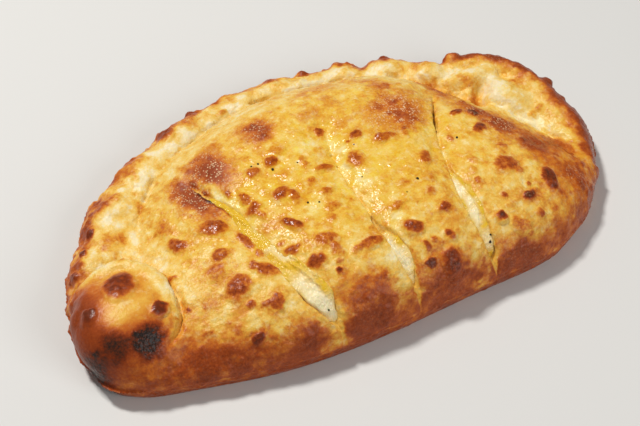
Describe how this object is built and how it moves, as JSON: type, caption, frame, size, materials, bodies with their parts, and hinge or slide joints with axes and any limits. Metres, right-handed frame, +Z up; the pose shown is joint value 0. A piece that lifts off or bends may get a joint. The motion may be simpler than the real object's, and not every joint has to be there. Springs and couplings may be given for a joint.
{
  "type": "calzone",
  "caption": "Baked half-moon of folded dough with a rolled rim, a folded knob, a loose end flap and slashes across the dome that show its soft filling; served whole.",
  "frame": {"origin": "middle of the bounding box in plan, on the underside that rests on the table", "axes": "+X along the food from the folded knob towards the loose flap, +Y towards the rolled rim, +Z up"},
  "size_m": [0.2961, 0.1734, 0.042],
  "materials": {
    "baked_crust": "baked dough, golden to brown, buttered and part glossy on top",
    "soft_filling": "moist soft cheese, cream white"
  },
  "bodies": {
    "root": {"crust": "baked_crust", "filling": "soft_filling"}
  },
  "joints": []
}
